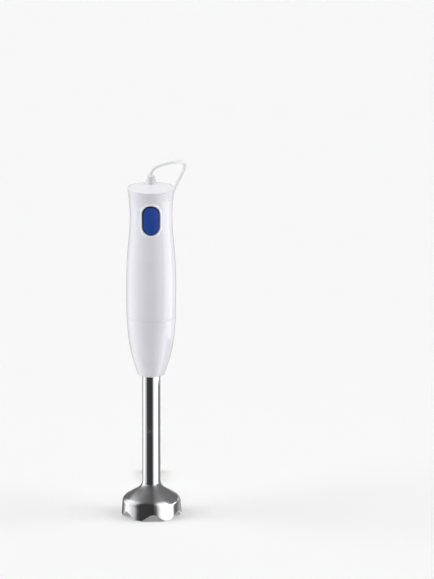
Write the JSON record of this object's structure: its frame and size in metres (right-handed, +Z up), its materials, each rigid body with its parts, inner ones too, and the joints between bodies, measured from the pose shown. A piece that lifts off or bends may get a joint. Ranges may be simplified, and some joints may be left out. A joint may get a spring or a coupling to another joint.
{
  "type": "immersion blender",
  "caption": "Hand-held stick blender with a white cylindrical handle, blue press button, polished steel shaft and scalloped bell blade guard, mains cord coiled behind.",
  "frame": {"origin": "on the surface it stands on, under the middle of its bounding box, on the axis of handle and shaft", "axes": "+Z up along the shaft and handle, front with the button faces -Y, cord leaves the cap towards +X and lies behind at +Y"},
  "size_m": [0.0724, 0.2026, 0.3998],
  "materials": {
    "white_plastic": "smooth white moulded plastic, semi-gloss",
    "pale_plastic": "pale lilac-white gloss plastic",
    "blue_plastic": "soft deep blue plastic",
    "cord_pvc": "pale soft cable sheath",
    "polished_steel": "polished stainless steel",
    "blade_steel": "ground stainless steel",
    "screw_steel": "plated steel",
    "plug_brass": "plain brass contact blades",
    "black_nylon": "glass-filled nylon",
    "grey_nylon": "grey engineering plastic",
    "sintered_bronze": "oiled sintered bronze",
    "black_rubber": "moulded rubber",
    "core_steel": "stacked steel laminations",
    "copper": "varnished copper wire and bare copper segments",
    "carbon": "pressed carbon",
    "board": "coated circuit board",
    "switch_black": "moulded black plastic",
    "plunger_red": "moulded plastic",
    "capacitor_yellow": "potted film capacitor case",
    "wire_sheath": "PVC-sheathed wire"
  },
  "bodies": {
    "motor_body": {"handle_housing": "white_plastic", "button_bezel": "pale_plastic", "top_cap": "white_plastic", "strain_relief": "cord_pvc", "mains_cord": "cord_pvc", "cord_coil": "cord_pvc", "plug_lead": "cord_pvc", "plug_body": "cord_pvc", "plug_blades": "plug_brass", "cord_stub": "cord_pvc", "cord_clamp": "black_nylon", "clamp_bridge": "black_nylon", "clamp_screws": "screw_steel", "control_board": "board", "microswitch": "switch_black", "suppressor_capacitor": "capacitor_yellow", "terminal_block": "switch_black", "supply_wires": "wire_sheath", "coupling_socket": "black_nylon", "lower_bracket": "black_nylon", "lower_bearing": "screw_steel", "upper_bracket": "black_nylon", "upper_bush": "sintered_bronze", "motor_screws": "screw_steel", "stator_core": "core_steel", "field_coils": "copper", "brush_holders": "grey_nylon", "carbon_brushes": "carbon", "brush_springs": "screw_steel", "lower_buffer": "black_rubber", "upper_buffer": "black_rubber"},
    "button": {"power_button": "blue_plastic"},
    "plunger": {"switch_plunger": "plunger_red"},
    "rotor": {"motor_shaft": "blade_steel", "drive_claw": "black_nylon", "cooling_fan": "black_nylon", "armature_core": "core_steel", "armature_windings": "copper", "commutator": "copper"},
    "blending_shaft": {"shaft_cone": "white_plastic", "lock_collar": "black_nylon", "steel_tube": "polished_steel", "bell_guard": "polished_steel", "guard_hub": "grey_nylon", "shaft_seal": "black_rubber", "lower_bush": "sintered_bronze", "middle_bush": "sintered_bronze", "upper_shaft_bush": "sintered_bronze"},
    "blade_drive": {"drive_shaft": "blade_steel", "driven_claw": "black_nylon", "cutting_blade": "blade_steel", "blade_washer": "blade_steel", "blade_nut": "blade_steel", "retaining_ring": "blade_steel"}
  },
  "joints": [
    {"name": "button_press", "type": "slide", "parent": "motor_body", "child": "button", "axis": [0, 1, 0], "range_m": [0, 0.002], "stiffness_N_per_m": 700},
    {"name": "plunger_press", "type": "slide", "parent": "motor_body", "child": "plunger", "axis": [0, 1, 0], "range_m": [0, 0.002], "stiffness_N_per_m": 50},
    {"name": "rotor_spin", "type": "hinge", "parent": "motor_body", "child": "rotor", "pos_m": [0, 0, 0.28], "axis": [0, 0, 1], "continuous": true},
    {"name": "shaft_twist", "type": "hinge", "parent": "motor_body", "child": "blending_shaft", "pos_m": [0, 0, 0.2275], "axis": [0, 0, 1], "range_deg": [0, 38]},
    {"name": "blade_spin", "type": "hinge", "parent": "blending_shaft", "child": "blade_drive", "pos_m": [0, 0, 0.1], "axis": [0, 0, 1], "continuous": true}
  ],
  "couplings": [
    {"joint": "plunger_press", "follows": "button_press", "ratio": 1},
    {"joint": "blade_spin", "follows": "rotor_spin", "ratio": 1}
  ]
}
